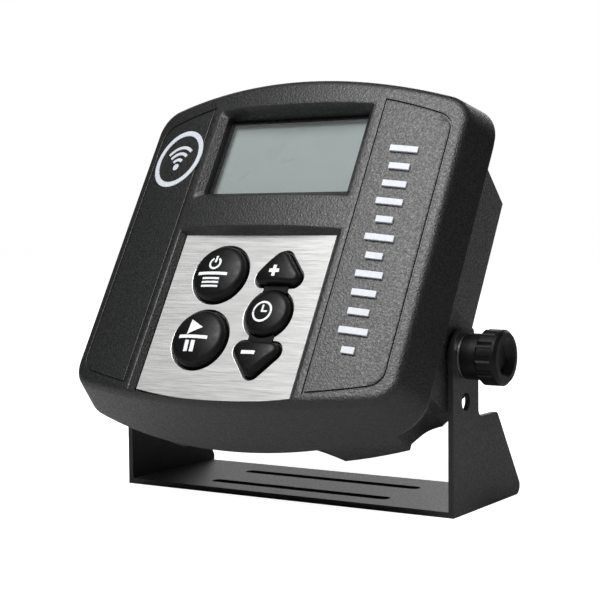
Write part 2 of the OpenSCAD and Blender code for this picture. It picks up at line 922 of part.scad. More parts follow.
// three nested sound arcs over a dot
module badge_emblem() {
    dot_r = 1.4;
    arc_w = 1.3;
    far = 20;
    dot_v = bezel_v - 3.6;
    color("#e8e9ea") head_frame() intersection() {
        face_layer(hair, mark_t);
        translate([badge_u, dot_v, 0]) {
            cylinder(r = dot_r, h = past_face);
            for (r = [3.8, 6.4, 9]) {
                intersection() {
                    ring(r, r - arc_w, past_face);
                    rotate(45) cube([far, far, past_face]);
                }
            }
        }
    }
}

// raised level bars up the right panel
module side_bars() {
    bars = 12;
    pitch = 6.9;
    thick = 2.4;
    first_v = -18.6;
    mid_u = 47.8;
    raised = 0.9;
    shortest = 2.2;         // half lengths of the bars rise and fall from this
    swing = 2.8;
    swing_step = 75;
    color("#e8e9ea") head_frame() intersection() {
        face_layer(hair, raised);
        for (i = [0:bars - 1]) {
            half = shortest + swing * abs(sin(i * swing_step));
            low = first_v + i * pitch;
            box_uvw(mid_u - half, mid_u + half, low, low + thick, back_w, past_face);
        }
    }
}

// ---------------------------------------------------------------- clamp knobs

module knob_side() {
    dish_r = 6.6;
    dish_floor_r = 4;
    lip = 1;
    flute_r = 1.5;
    flute_mid = knob_r + 0.7;
    hole_r = stud_r + hair;
    difference() {
        rotate_extrude() polygon([[hole_r, collar_in], [collar_r, collar_in], [collar_r, grip_in],
            [knob_r - lip, grip_in], [knob_r, grip_in + lip], [knob_r, grip_out - lip],
            [knob_r - lip, grip_out], [dish_r, grip_out], [dish_floor_r, dish_floor],
            [0, dish_floor], [0, dish_floor - web_t], [hole_r, dish_floor - web_t]]);
        for (i = [0:knob_flutes - 1]) {
            rotate(i * 360 / knob_flutes) translate([flute_mid, 0, grip_in - 1])
                cylinder(r = flute_r, h = grip_out - grip_in - 1);
        }
    }
}

module stud_side() {
    inner = insert_in + 2.5;
    outer = dish_floor - web_t - stud_short;
    translate([0, 0, inner]) cylinder(r = stud_r, h = outer - inner);
}

module washer_side() {
    translate([0, 0, half_w + clamp_gap]) ring(clamp_washer_r, stud_r + stud_clear, clamp_washer_t);
}

module on_side(way) {
    head_frame() rotate([0, way * 90, 0]) children();
}

module knob_right() {
    color("#1b1c1d") on_side(1) knob_side();
}

module stud_right() {
    color("#9a9c9f") on_side(1) stud_side();
}

module washer_right() {
    color("#9a9c9f") on_side(1) washer_side();
}

module knob_left() {
    color("#1b1c1d") on_side(-1) knob_side();
}

module stud_left() {
    color("#9a9c9f") on_side(-1) stud_side();
}

module washer_left() {
    color("#9a9c9f") on_side(-1) washer_side();
}

module key_power() {
    key(0);
}

module pill_power() {
    pill(0);
}

module key_play() {
    key(1);
}

module pill_play() {
    pill(1);
}

module key_plus() {
    key(2);
}

module pill_plus() {
    pill(2);
}

module key_delay() {
    key(3);
}

module pill_delay() {
    pill(3);
}

module key_minus() {
    key(4);
}

module pill_minus() {
    pill(4);
}

bracket();
front_housing();
rear_housing();
housing_gasket();
housing_screws();
display_window();
window_seal();
lcd_frame();
lcd_glass();
lcd_backlight();
lcd_board();
lcd_header();
keypad_plate();
keypad_mat();
main_board();
board_chips();
board_screws();
board_cable();
amplifier_board();
amplifier_chip();
heat_sink();
capacitors();
amplifier_screws();
power_inlet();
power_pins();
speaker_socket();
speaker_pins();
socket_nuts();
pivot_inserts();
friction_washers();
badge_ring();
badge_emblem();
side_bars();
key_power();
pill_power();
key_play();
pill_play();
key_plus();
pill_plus();
key_delay();
pill_delay();
key_minus();
pill_minus();
knob_right();
stud_right();
washer_right();
knob_left();
stud_left();
washer_left();
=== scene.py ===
"""Looks of an electronic control head on its tilting U bracket.

Everything is in metres in the CAD frame. The head's own parts are drawn in
millimetres in the head frame: u across the face, v up it and w out of it,
measured from the tilt pivot.
"""

import json
import math

import bmesh
import bpy
import numpy as np
from mathutils import Matrix, Vector

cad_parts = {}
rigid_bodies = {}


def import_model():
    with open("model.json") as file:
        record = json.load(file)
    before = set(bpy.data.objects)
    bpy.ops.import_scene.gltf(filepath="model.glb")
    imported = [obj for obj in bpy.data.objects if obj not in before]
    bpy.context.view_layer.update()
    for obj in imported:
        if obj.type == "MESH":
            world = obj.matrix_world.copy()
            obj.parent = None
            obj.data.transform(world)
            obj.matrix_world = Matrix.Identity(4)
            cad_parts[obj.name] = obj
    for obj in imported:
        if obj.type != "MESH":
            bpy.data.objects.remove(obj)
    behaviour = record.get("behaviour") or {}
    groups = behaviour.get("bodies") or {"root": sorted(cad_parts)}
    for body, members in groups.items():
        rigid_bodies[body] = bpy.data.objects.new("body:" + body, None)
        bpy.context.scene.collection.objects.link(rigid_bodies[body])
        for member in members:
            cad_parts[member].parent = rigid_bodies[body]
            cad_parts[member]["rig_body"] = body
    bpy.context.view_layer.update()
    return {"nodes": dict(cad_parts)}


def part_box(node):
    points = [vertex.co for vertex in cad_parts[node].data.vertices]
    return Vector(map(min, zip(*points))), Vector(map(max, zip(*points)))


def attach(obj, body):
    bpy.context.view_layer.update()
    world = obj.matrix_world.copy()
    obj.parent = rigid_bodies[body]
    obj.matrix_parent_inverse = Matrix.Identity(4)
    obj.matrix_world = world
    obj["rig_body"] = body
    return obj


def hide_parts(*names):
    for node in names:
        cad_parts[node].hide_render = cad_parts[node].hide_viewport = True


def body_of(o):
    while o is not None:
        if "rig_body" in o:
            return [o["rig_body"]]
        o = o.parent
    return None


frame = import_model()

MM = 0.001
TILT = math.radians(30.5)

# ---------------------------------------------------------------- sizes, mm

# front housing: bowed face, plan at the open back, and side panels
FACE_W = 43.1
FACE_R = 225.0
BACK_W = 19.0
SLOPE = math.tan(math.radians(17.5))
PLAN = {"half": 70.1, "top": 94.3, "bottom": -48.2, "r_top": 240.0, "r_bottom": 185.0, "corner": 15.0}
PANEL = {"half": 61.3, "top": 80.9, "bottom": -37.4, "r_top": 240.0, "r_bottom": 185.0, "corner": 6.6}
PANEL_IN = 36.5
WALL = 2.7
SHOULDER_W = 29.5       # where the inside of the walls turns into the ceiling
CEILING_W = 35.5
FRONT_RADIUS = 4.0
FACE_MIDDLE = (0.0, 23.0)
CORNER_POINTS = 17      # along one corner, one bowed side and one straight side of the plan
ARCH_POINTS = 49
SIDE_POINTS = 24
EDGE_POINTS = 9         # over the rounded front edge
WALL_RINGS = 8
FACE_RINGS = 18
INNER_WALL_RINGS = 4
CEILING_RINGS = 26
LAST_RING = 0.96        # share of the way to the middle, where face and ceiling are closed
CEILING_START = 0.08    # share of the way in, over which the inside rises to the ceiling

# display opening and keypad recess
FLOOR_W = 37.7
BEZEL = {"half_u": 32.6, "half_v": 18.8, "mid_v": 57.7}
VIEW = {"half_u": 30.2, "half_v": 16.5, "mid_v": 58.4}
VIEW_W = 38.6
VIEW_CORNER = 0.6
BEZEL_CORNER = 1.2
# growth, share of the way from the view's edge to the bezel's, and lift of each ring of the cutter
BEZEL_RINGS = (
    (0, 0, -9), (0, 0, 0), (0, 0.93, 0), (0.12, 0.975, -0.02),
    (0.5, 1, -0.04), (1.1, 1, 0.08), (1.1, 1, 3),
)
MASK_OUT = {"half_u": 30.9, "half_v": 17.2, "mid_v": 58.5}
MASK_IN = {"half_u": 28.5, "half_v": 14.8, "mid_v": 58.6}
MASK_W = 35.64
MASK_T = 0.06
MASK_CORNER = 0.5
RECESS_HALF = 33.4
RECESS_TOP = 26.1
RECESS_BOTTOM = -39.6
RECESS_BOW_GROWTH = 0.3
RECESS_BOW_POINTS = 40
RECESS_SIDE_POINTS = 21
# growth and height of the cutter's rings at the recess floor, then growth and lift over the face
RECESS_LOW_RINGS = ((-1.5, FLOOR_W), (-1.5, FLOOR_W + 0.8))
RECESS_LIP_RINGS = ((-0.15, -0.5), (0.05, -0.22), (0.4, -0.04), (1.0, 0.08), (1.0, 4))
PANEL_IN_POINTS = 60
# sideways offset and height over the face of each corner of the groove's section
GROOVE_SECTION = (
    (0.75, 0.5), (0.6, 0.06), (0.38, -0.08), (0.3, -0.55),
    (-0.3, -0.55), (-0.38, -0.08), (-0.6, 0.06), (-0.75, 0.5),
)

# keys
ROUND_U = -11.0
POWER_V = 9.0
PLAY_V = -16.1
TRIO_U = 13.5
TRIO_V = -5.6
CORNER_TIPS = ((0.0, 20.6), (-6.0, 13.6), (6.0, 13.6))
CORNER_R = 2.7
CORNER_MID = (CORNER_TIPS[0][1] + 2 * CORNER_TIPS[1][1]) / 3
KEY_R = 10.5
DELAY_R = 8.6
DOME_R = 34.0
ROUND_KEYS = ("power", "play", "delay")
ROUND_KEY_POINTS = 64
TIP_POINTS = 14
TIP_SIDE_POINTS = 12
KEY_RINGS = 9
KEY_LAST_RING = 0.94
KEY_EDGE = 1.9
CORNER_KEY_EDGE = 1.7
KEY_EDGE_DROP = 0.9     # height of the soft edge, as a share of its width
KEY_GAP = 0.4
KEY_HOLE_W = (30.0, 40.0)
KEY_FLANGE = 0.9
KEY_FOOT_W = 34.0
KEY_FLANGE_W = 35.4
KEY_WAIST_W = 37.5
NECK_HALF = 4.9
NECK_T = 1.3
NECK_LIFT = 0.02
NECK_CORNER = 0.4
# middle of each key, and the height of its dome
KEYS = {
    "power": (ROUND_U, POWER_V, 42.6),
    "play": (ROUND_U, PLAY_V, 42.6),
    "plus": (TRIO_U, TRIO_V + CORNER_MID, 42.0),
    "delay": (TRIO_U, TRIO_V, 41.6),
    "minus": (TRIO_U, TRIO_V - CORNER_MID, 42.0),
}
ICON_HEIGHT = 0.16
ICON_SINK = 0.3
ICON_STEPS = 9

stud_low, stud_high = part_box("stud_right")
PIVOT = Vector((0, (stud_low[1] + stud_high[1]) / 2, (stud_low[2] + stud_high[2]) / 2))
HEAD = Matrix.Translation(PIVOT) @ Matrix.Rotation(math.pi / 2 - TILT, 4, "X")


# ---------------------------------------------------------------- camera

def add_camera():
    """The photograph's view: a long lens from the front right, a little above level."""
    azimuth, elevation, roll = (math.radians(a) for a in (32.49, 3.28, -0.60))
    distance = 0.55517
    target = Vector((-0.00501, -0.00317, 0.07018))
    back = Vector((math.sin(azimuth) * math.cos(elevation), -math.cos(azimuth) * math.cos(elevation),
                   math.sin(elevation)))
    right = (-back).cross(Vector((0, 0, 1))).normalized()
    up = right.cross(-back)
    across = right * math.cos(roll) + up * math.sin(roll)
    upward = up * math.cos(roll) - right * math.sin(roll)
    turn = Matrix((across, upward, back)).transposed().to_4x4()
    data = bpy.data.cameras.new("camera")
    data.lens = 90.28
    data.sensor_width = 36
    camera = bpy.data.objects.new("camera", data)
    camera.matrix_world = Matrix.Translation(target + back * distance) @ turn
    bpy.context.collection.objects.link(camera)
    bpy.context.scene.camera = camera


# ---------------------------------------------------------------- materials

NOISE_REACH = (0.3, 0.7)


class Look:
    """A Principled material and short calls that add nodes to it."""

    def __init__(self, name, colour, roughness, metallic=0.0):
        self.material = bpy.data.materials.new(name)
        self.material.use_nodes = True
        self.nodes = self.material.node_tree.nodes
        self.links = self.material.node_tree.links
        self.shader = self.nodes["Principled BSDF"]
        self.shader.inputs["Base Color"].default_value = (*colour, 1)
        self.shader.inputs["Roughness"].default_value = roughness
        self.shader.inputs["Metallic"].default_value = metallic
        self.colour = colour
        self.place = self.nodes.new("ShaderNodeTexCoord").outputs["Object"]

    def stretched(self, scale):
        mapping = self.nodes.new("ShaderNodeMapping")
        mapping.inputs["Scale"].default_value = scale
        self.links.new(self.place, mapping.inputs["Vector"])
        return mapping.outputs["Vector"]

    def noise(self, size, detail=4.0, rough=0.5, place=None):
        """Noise whose features are about that many metres across."""
        node = self.nodes.new("ShaderNodeTexNoise")
        node.inputs["Scale"].default_value = 1 / size
        node.inputs["Detail"].default_value = detail
        node.inputs["Roughness"].default_value = rough
        self.links.new(place or self.place, node.inputs["Vector"])
        return node.outputs["Fac"]

    def cells(self, size):
        """Rounded pebbles of that size in metres."""
        node = self.nodes.new("ShaderNodeTexVoronoi")
        node.feature = "SMOOTH_F1"
        node.inputs["Scale"].default_value = 1 / size
        self.links.new(self.place, node.inputs["Vector"])
        return node.outputs["Distance"]

    def ramp(self, value, low, high):
        """Spreads the usual reach of a noise over low to high."""
        node = self.nodes.new("ShaderNodeMapRange")
        node.inputs["From Min"].default_value = NOISE_REACH[0]
        node.inputs["From Max"].default_value = NOISE_REACH[1]
        node.inputs["To Min"].default_value = low
        node.inputs["To Max"].default_value = high
        self.links.new(value, node.inputs["Value"])
        return node.outputs["Result"]

    def tint(self, value, low, high):
        """Colour that runs from low to high times the base colour with a noise value."""
        node = self.nodes.new("ShaderNodeMix")
        node.data_type = "RGBA"
        node.inputs["A"].default_value = (*(c * low for c in self.colour), 1)
        node.inputs["B"].default_value = (*(min(1, c * high) for c in self.colour), 1)
        self.links.new(self.ramp(value, 0, 1), node.inputs["Factor"])
        self.links.new(node.outputs["Result"], self.shader.inputs["Base Color"])

    def roughen(self, value, low, high):
        self.links.new(self.ramp(value, low, high), self.shader.inputs["Roughness"])

    def bump(self, height, depth, strength=1.0):
        node = self.nodes.new("ShaderNodeBump")
        node.inputs["Distance"].default_value = depth
        node.inputs["Strength"].default_value = strength
        self.links.new(height, node.inputs["Height"])
        previous = self.shader.inputs["Normal"]
        if previous.is_linked:
            self.links.new(previous.links[0].from_socket, node.inputs["Normal"])
        self.links.new(node.outputs["Normal"], previous)


def grained_plastic(name, colour, grain, depth, roughness):
    """Moulded plastic with a pebbled grain, uneven gloss and fine speckle in its colour, lighter and
    darker at random, whose light specks are painted highlights on the grain.
    """
    look = Look(name, colour, roughness)
    # painted highlight: speckle at the grain's size lifts the colour up to half again, its light specks
    # standing in for highlights on the pebbles
    look.tint(look.noise(grain * 1.5, detail=5, rough=0.65), 0.7, 1.5)
    look.roughen(look.noise(grain * 1.2, detail=4, rough=0.6), roughness - 0.13, roughness + 0.13)
    look.bump(look.cells(grain), depth)
    look.bump(look.noise(grain * 0.6, detail=3, rough=0.7), depth * 0.8)
    return look.material


def smooth_plastic(name, colour, roughness):
    look = Look(name, colour, roughness)
    look.tint(look.noise(0.006, detail=5), 0.82, 1.25)
    look.roughen(look.noise(0.0012, detail=4), roughness - 0.06, roughness + 0.08)
    look.bump(look.noise(0.0003, detail=3), depth=0.000012, strength=0.5)
    look.shader.inputs["Specular IOR Level"].default_value = 0.3
    return look.material


def powder_coat(name, colour):
    look = Look(name, colour, 0.5)
    look.tint(look.noise(0.0006, detail=5, rough=0.7), 0.6, 1.7)
    look.roughen(look.noise(0.0007, detail=4), 0.4, 0.62)
    look.bump(look.noise(0.0006, detail=4, rough=0.65), depth=0.00009, strength=0.8)
    return look.material


def brushed_metal(name, colour, roughness, metallic=1.0, along=0):
    """Metal with fine lines along one axis and a little dulling."""
    look = Look(name, colour, roughness, metallic)
    scale = [1.0, 1.0, 1.0]
    scale[along] = 0.03
    lines = look.noise(0.0004, detail=4, rough=0.7, place=look.stretched(scale))
    look.tint(lines, 0.9, 1.08)
    look.roughen(lines, roughness - 0.07, roughness + 0.08)
    look.bump(lines, depth=0.000012, strength=0.5)
    return look.material


def soft_rubber(name, colour):
    look = Look(name, colour, 0.42)
    look.tint(look.noise(0.003, detail=4), 0.8, 1.3)
    look.roughen(look.noise(0.0016, detail=4), 0.34, 0.5)
    look.bump(look.noise(0.00025, detail=3, rough=0.6), depth=0.00001, strength=0.5)
    look.shader.inputs["Specular IOR Level"].default_value = 0.18
    return look.material


def painted_mark(name, colour):
    look = Look(name, colour, 0.36)
    look.tint(look.noise(0.002, detail=4), 0.94, 1.05)
    look.roughen(look.noise(0.0008, detail=4), 0.3, 0.44)
    look.bump(look.noise(0.0004, detail=3), depth=0.00001, strength=0.4)
    look.shader.inputs["Specular IOR Level"].default_value = 0.2
    return look.material


def circuit_board(name):
    """Green solder mask with faint tracks."""
    look = Look(name, (0.012, 0.11, 0.05), 0.35)
    look.tint(look.noise(0.0016, detail=2, rough=0.5, place=look.stretched((1, 0.15, 1))), 0.75, 1.5)
    look.bump(look.noise(0.0016, detail=2, rough=0.5, place=look.stretched((1, 0.15, 1))), depth=0.00002)
    return look.material


def display_glass(name):
    """Grey-green liquid crystal glass, a little uneven in tone and gloss."""
    look = Look(name, (0.14, 0.167, 0.162), 0.3)
    look.tint(look.noise(0.03, detail=2), 0.96, 1.04)
    look.roughen(look.noise(0.01, detail=3), 0.26, 0.36)
    look.shader.inputs["Specular IOR Level"].default_value = 0.2
    return look.material


def clear_window(name):
    look = Look(name, (0.8, 0.84, 0.84), 0.05)
    look.roughen(look.noise(0.004, detail=3), 0.02, 0.09)
    look.tint(look.noise(0.01, detail=3), 0.97, 1.03)
    look.shader.inputs["Alpha"].default_value = 0.06
    return look.material


def make_looks():
    return {
        "bracket_paint": powder_coat("bracket_paint", (0.011, 0.011, 0.013)),
        "housing_front": grained_plastic("housing_front", (0.0075, 0.0078, 0.0078), 0.0007, 0.00012, 0.46),
        "housing_rear": grained_plastic("housing_rear", (0.036, 0.036, 0.0365), 0.0009, 0.0002, 0.5),
        "seal_rubber": soft_rubber("seal_rubber", (0.012, 0.012, 0.013)),
        "key_rubber": soft_rubber("key_rubber", (0.0035, 0.0036, 0.0038)),
        "mask_black": smooth_plastic("mask_black", (0.006, 0.006, 0.0065), 0.3),
        "carbon_pill": soft_rubber("carbon_pill", (0.03, 0.03, 0.032)),
        "window_clear": clear_window("window_clear"),
        "display_glass": display_glass("display_glass"),
        "display_light": painted_mark("display_light", (0.75, 0.8, 0.72)),
        "tin_plate": brushed_metal("tin_plate", (0.55, 0.55, 0.53), 0.35),
        "plate_silver": brushed_metal("plate_silver", (0.60, 0.60, 0.595), 0.36, 0.65),
        "circuit_board": circuit_board("circuit_board"),
        "chip_black": smooth_plastic("chip_black", (0.015, 0.015, 0.016), 0.5),
        "ribbon_grey": smooth_plastic("ribbon_grey", (0.3, 0.3, 0.31), 0.5),
        "can_blue": smooth_plastic("can_blue", (0.03, 0.06, 0.16), 0.4),
        "fin_aluminium": brushed_metal("fin_aluminium", (0.6, 0.61, 0.62), 0.4, along=1),
        "steel": brushed_metal("steel", (0.5, 0.5, 0.5), 0.32),
        "contact_gold": brushed_metal("contact_gold", (0.85, 0.6, 0.25), 0.28),
        "insert_brass": brushed_metal("insert_brass", (0.7, 0.5, 0.22), 0.35),
        "mark_white": painted_mark("mark_white", (0.44, 0.46, 0.49)),
        "icon_white": painted_mark("icon_white", (0.62, 0.63, 0.64)),
        "knob_plastic": soft_rubber("knob_plastic", (0.0032, 0.0032, 0.0035)),
        "socket_plastic": smooth_plastic("socket_plastic", (0.02, 0.02, 0.022), 0.45),
    }


# ---------------------------------------------------------------- mesh helpers

def face_height(u):
    """Height of the bowed face at a distance from its middle line."""
    return FACE_W - FACE_R + np.sqrt(FACE_R**2 - np.asarray(u, dtype=float) ** 2)


def new_object(name, points, faces, matrix=HEAD):
    """Mesh object from points in millimetres of a frame, with outward normals."""
    mesh = bpy.data.meshes.new(name)
    mesh.from_pydata([tuple(float(c) * MM for c in p) for p in points], [], faces)
    mesh.update()
    shape = bmesh.new()
    shape.from_mesh(mesh)
    shape.transform(matrix)
    bmesh.ops.recalc_face_normals(shape, faces=shape.faces)
    shape.to_mesh(mesh)
    shape.free()
    piece = bpy.data.objects.new(name, mesh)
    bpy.context.collection.objects.link(piece)
    return piece


def loft_faces(rings, count, closed=False):
    """Quads between rings of equal length, with the first and last capped unless closed."""
    faces = []
    for k in range(rings if closed else rings - 1):
        here, there = k * count, (k + 1) % rings * count
        for j in range(count):
            ahead = (j + 1) % count
            faces.append((here + j, here + ahead, there + ahead, there + j))
    if not closed:
        faces.append(tuple(range(count))[::-1])
        faces.append(tuple((rings - 1) * count + j for j in range(count)))
    return faces


def loft(name, rings, closed=False, matrix=HEAD):
    points = np.concatenate([np.asarray(r, dtype=float) for r in rings])
    return new_object(name, points, loft_faces(len(rings), len(rings[0]), closed), matrix)


def arc(mid, radius, start, end, count):
    angles = np.linspace(start, end, count)
    return np.stack([mid[0] + radius * np.cos(angles), mid[1] + radius * np.sin(angles)], axis=1)


def at_height(flat, height):
    """Ring that has every point of a plan at one height."""
    return np.column_stack([flat, np.full(len(flat), height)])


def over_face(flat, lift=0.0):
    """Ring that follows the bowed face along a plan."""
    return np.column_stack([flat, face_height(flat[:, 0]) + lift])


def housing_outline(half, top, bottom, r_top, r_bottom, corner):
    """Anticlockwise plan of the housing and the outward direction at each point."""
    corner_u = half - corner
    arch_mid = (0, top - r_top)
    bow_mid = (0, bottom + r_bottom)
    corner_top = arch_mid[1] + math.sqrt((r_top - corner) ** 2 - corner_u**2)
    corner_bottom = bow_mid[1] - math.sqrt((r_bottom - corner) ** 2 - corner_u**2)
    arch_turn = math.atan2(corner_top - arch_mid[1], corner_u)
    bow_turn = math.atan2(bow_mid[1] - corner_bottom, corner_u)
    pi = math.pi
    stretches = [
        ((corner_u, corner_top), corner, 0, arch_turn, CORNER_POINTS),
        (arch_mid, r_top, arch_turn, pi - arch_turn, ARCH_POINTS),
        ((-corner_u, corner_top), corner, pi - arch_turn, pi, CORNER_POINTS),
        ((-corner_u, corner_bottom), corner, pi, pi + bow_turn, CORNER_POINTS),
        (bow_mid, r_bottom, pi + bow_turn, 2 * pi - bow_turn, ARCH_POINTS),
        ((corner_u, corner_bottom), corner, 2 * pi - bow_turn, 2 * pi, CORNER_POINTS),
    ]
    points = []
    outward = []
    for index, (mid, radius, start, end, count) in enumerate(stretches):
        # a stretch that joins the one before leaves out the point they share
        skip = 1 if index in (1, 2, 4, 5) else 0
        points.append(arc(mid, radius, start, end, count)[skip:])
        outward.append(arc((0, 0), 1, start, end, count)[skip:])
        # a straight side follows the second and the last corner
        if index in (2, 5):
            side = -1 if index == 2 else 1
            ends = (corner_top, corner_bottom) if index == 2 else (corner_bottom, corner_top)
            along = np.linspace(ends[0], ends[1], SIDE_POINTS)[1:-1]
            points.append(np.stack([np.full_like(along, side * half), along], axis=1))
            outward.append(np.tile([side, 0.0], (len(along), 1)))
    return np.concatenate(points), np.concatenate(outward)


def edge_profile(point, outward, radius):
    """Points over the wall's rounded front edge, as (inward distance, height) at one point of the rim."""
    tries = 8
    step = 0.1
    inward = 0.0
    for _ in range(tries):
        height = float(face_height(point[0] - inward * outward[0]))
        inward = SLOPE * (height - BACK_W)
    ahead = float(face_height(point[0] - (inward + step) * outward[0]))
    down = np.array([-SLOPE, -1.0]) / math.hypot(SLOPE, 1)
    along = np.array([step, ahead - height])
    along /= np.linalg.norm(along)
    half = math.acos(float(down @ along)) / 2
    edge = np.array([inward, height])
    middle = edge + (down + along) / np.linalg.norm(down + along) * radius / math.sin(half)
    first = edge + down * radius / math.tan(half) - middle
    last = edge + along * radius / math.tan(half) - middle
    start = math.atan2(first[1], first[0])
    turn = math.atan2(last[1], last[0]) - start
    turn = (turn + math.pi) % (2 * math.pi) - math.pi
    angles = [start + turn * share for share in np.linspace(0, 1, EDGE_POINTS)]
    return [middle + radius * np.array([math.cos(angle), math.sin(angle)]) for angle in angles]


def housing_rings():
    """Rings of the front housing's skin, outside from the rim to the middle and back inside."""
    rim, outward = housing_outline(**PLAN)
    middle = np.array(FACE_MIDDLE)
    profiles = np.array([edge_profile(p, n, FRONT_RADIUS) for p, n in zip(rim, outward)])
    rings = []
    for share in np.linspace(0, 1, WALL_RINGS)[:-1]:
        inward = profiles[:, 0, 0] * share
        rings.append(np.column_stack([rim - outward * inward[:, None], BACK_W + inward / SLOPE]))
    for step in range(profiles.shape[1]):
        inward = profiles[:, step, 0]
        rings.append(np.column_stack([rim - outward * inward[:, None], profiles[:, step, 1]]))
    edge = rings[-1][:, :2]
    for share in np.linspace(0, LAST_RING, FACE_RINGS)[1:]:
        rings.append(over_face(edge + (middle - edge) * share))
    outside = rings[::-1]
    inner = []
    for share in np.linspace(0, 1, INNER_WALL_RINGS):
        height = BACK_W + share * (SHOULDER_W - BACK_W)
        inner.append(at_height(rim - outward * (WALL + SLOPE * (height - BACK_W)), height))
    edge = inner[-1][:, :2]
    for share in np.linspace(0, LAST_RING, CEILING_RINGS)[1:]:
        flat = edge + (middle - edge) * share
        ceiling = np.minimum(face_height(flat[:, 0]) - WALL, CEILING_W)
        rise = min(1.0, share / CEILING_START)
        inner.append(np.column_stack([flat, SHOULDER_W + (ceiling - SHOULDER_W) * rise]))
    return outside + inner


def joined(corners, count):
    """Closed line through a list of corner arcs, with close points along its straight sides."""
    points = []
    for index, corner in enumerate(corners):
        begin = corner[-1]
        end = corners[(index + 1) % len(corners)][0]
        points += [corner, begin + (end - begin) * np.linspace(0, 1, count)[1:-1, None]]
    return np.concatenate(points)


def rounded_rectangle(half_u, half_v, mid_v, corner):
    """Anticlockwise outline with close points along its sides."""
    corner_points = 5
    corners = []
    for turn, (side_u, side_v) in enumerate(((1, 1), (-1, 1), (-1, -1), (1, -1))):
        mid = (side_u * (half_u - corner), mid_v + side_v * (half_v - corner))
        corners.append(arc(mid, corner, turn * math.pi / 2, (turn + 1) * math.pi / 2, corner_points))
    return joined(corners, SIDE_POINTS)


def bezel_cutter():
    """Sloping frame round the display, with a softened edge where it meets the face."""
    rings = []
    for grow, share, lift in BEZEL_RINGS:
        half_u = VIEW["half_u"] + (BEZEL["half_u"] - VIEW["half_u"]) * share + grow
        half_v = VIEW["half_v"] + (BEZEL["half_v"] - VIEW["half_v"]) * share + grow
        mid_v = VIEW["mid_v"] + (BEZEL["mid_v"] - VIEW["mid_v"]) * share
        corner = VIEW_CORNER + (BEZEL_CORNER - VIEW_CORNER) * share + grow
        flat = rounded_rectangle(half_u, half_v, mid_v, corner)
        height = VIEW_W + (face_height(flat[:, 0]) - VIEW_W) * share + lift
        rings.append(np.column_stack([flat, height]))
    return loft("bezel_cutter", rings)


def window_mask():
    """Black printed border on the display window."""
    rings = []
    for size, lift in ((MASK_OUT, 0), (MASK_IN, 0), (MASK_IN, MASK_T), (MASK_OUT, MASK_T)):
        flat = rounded_rectangle(size["half_u"], size["half_v"], size["mid_v"], MASK_CORNER)
        rings.append(at_height(flat, MASK_W + lift))
    piece = loft("window_mask", rings, closed=True)
    place(piece, "head", "mask_black", "seal_rubber")


def recess_outline(grow):
    """Plan of the keypad recess: straight sides and a bowed bottom."""
    half = RECESS_HALF + grow
    top = RECESS_TOP + grow
    bottom = RECESS_BOTTOM - RECESS_BOW_GROWTH * grow
    bow_mid = bottom + PLAN["r_bottom"]
    low = bow_mid - math.sqrt(PLAN["r_bottom"] ** 2 - half**2)
    across = np.linspace(-half, half, RECESS_BOW_POINTS)
    bow = np.column_stack([across, bow_mid - np.sqrt(PLAN["r_bottom"] ** 2 - across**2)])
    up = np.linspace(low, top, RECESS_SIDE_POINTS)[1:]
    right = np.column_stack([np.full_like(up, half), up])
    back = np.linspace(half, -half, RECESS_BOW_POINTS)[1:]
    over = np.column_stack([back, np.full_like(back, top)])
    down = np.linspace(top, low, RECESS_SIDE_POINTS)[1:-1]
    left = np.column_stack([np.full_like(down, -half), down])
    return np.concatenate([bow, right, over, left])


def recess_cutter():
    """Keypad recess with a flat floor and a lip that follows the bowed face."""
    rings = [at_height(recess_outline(grow), height) for grow, height in RECESS_LOW_RINGS]
    rings += [over_face(recess_outline(grow), lift) for grow, lift in RECESS_LIP_RINGS]
    return loft("recess_cutter", rings)


def panel_path(side):
    """Closed line of the groove round a side panel."""
    outline, _ = housing_outline(**PANEL)
    half = outline[outline[:, 0] > PANEL_IN]
    # the half starts after the gap that its missing inner points leave
    start = int(np.argmax(np.linalg.norm(np.diff(half, axis=0), axis=1))) + 1
    half = np.roll(half, -start, axis=0)
    arch_mid = PANEL["top"] - PANEL["r_top"]
    bow_mid = PANEL["bottom"] + PANEL["r_bottom"]
    top = arch_mid + math.sqrt(PANEL["r_top"] ** 2 - PANEL_IN**2)
    bottom = bow_mid - math.sqrt(PANEL["r_bottom"] ** 2 - PANEL_IN**2)
    down = np.linspace(top, bottom, PANEL_IN_POINTS)
    path = np.concatenate([half, np.column_stack([np.full_like(down, PANEL_IN), down])])
    return path * np.array([side, 1])


def groove_cutter(side):
    """Fine groove with softened lips that follows the bowed face."""
    path = panel_path(side)
    ahead = np.roll(path, -1, axis=0) - path
    behind = path - np.roll(path, 1, axis=0)
    ahead /= np.linalg.norm(ahead, axis=1)[:, None]
    behind /= np.linalg.norm(behind, axis=1)[:, None]
    along = ahead + behind
    along /= np.linalg.norm(along, axis=1)[:, None]
    across = np.column_stack([along[:, 1], -along[:, 0]])
    reach = 1 / np.clip(np.sum(ahead * along, axis=1), 0.5, 1)
    rings = []
    for offset, lift in GROOVE_SECTION:
        rings.append(over_face(path + across * (offset * reach)[:, None], lift))
    return loft("groove_cutter", rings, closed=True)


def key_outline(key, grow):
    """Plan of a key about its own middle, grown or shrunk by a distance."""
    if key in ROUND_KEYS:
        radius = DELAY_R if key == "delay" else KEY_R
        return arc((0, 0), radius + grow, 0, 2 * math.pi, ROUND_KEY_POINTS + 1)[:-1]
    lean = math.atan2(CORNER_TIPS[2][0], CORNER_TIPS[0][1] - CORNER_TIPS[2][1])
    turns = (lean, math.pi - lean, 1.5 * math.pi, 2 * math.pi + lean)
    way = 1 if key == "plus" else -1
    corners = []
    for index, tip in enumerate(CORNER_TIPS):
        mid = (tip[0], tip[1] - CORNER_MID)
        corners.append(arc(mid, CORNER_R + grow, turns[index], turns[index + 1], TIP_POINTS))
    return joined(corners, TIP_SIDE_POINTS) * way


def hole_cutter(key):
    """Hole that a key stands in, with a gap round it."""
    flat = key_outline(key, KEY_GAP) + np.array(KEYS[key][:2])
    return loft("hole_cutter", [at_height(flat, height) for height in KEY_HOLE_W])


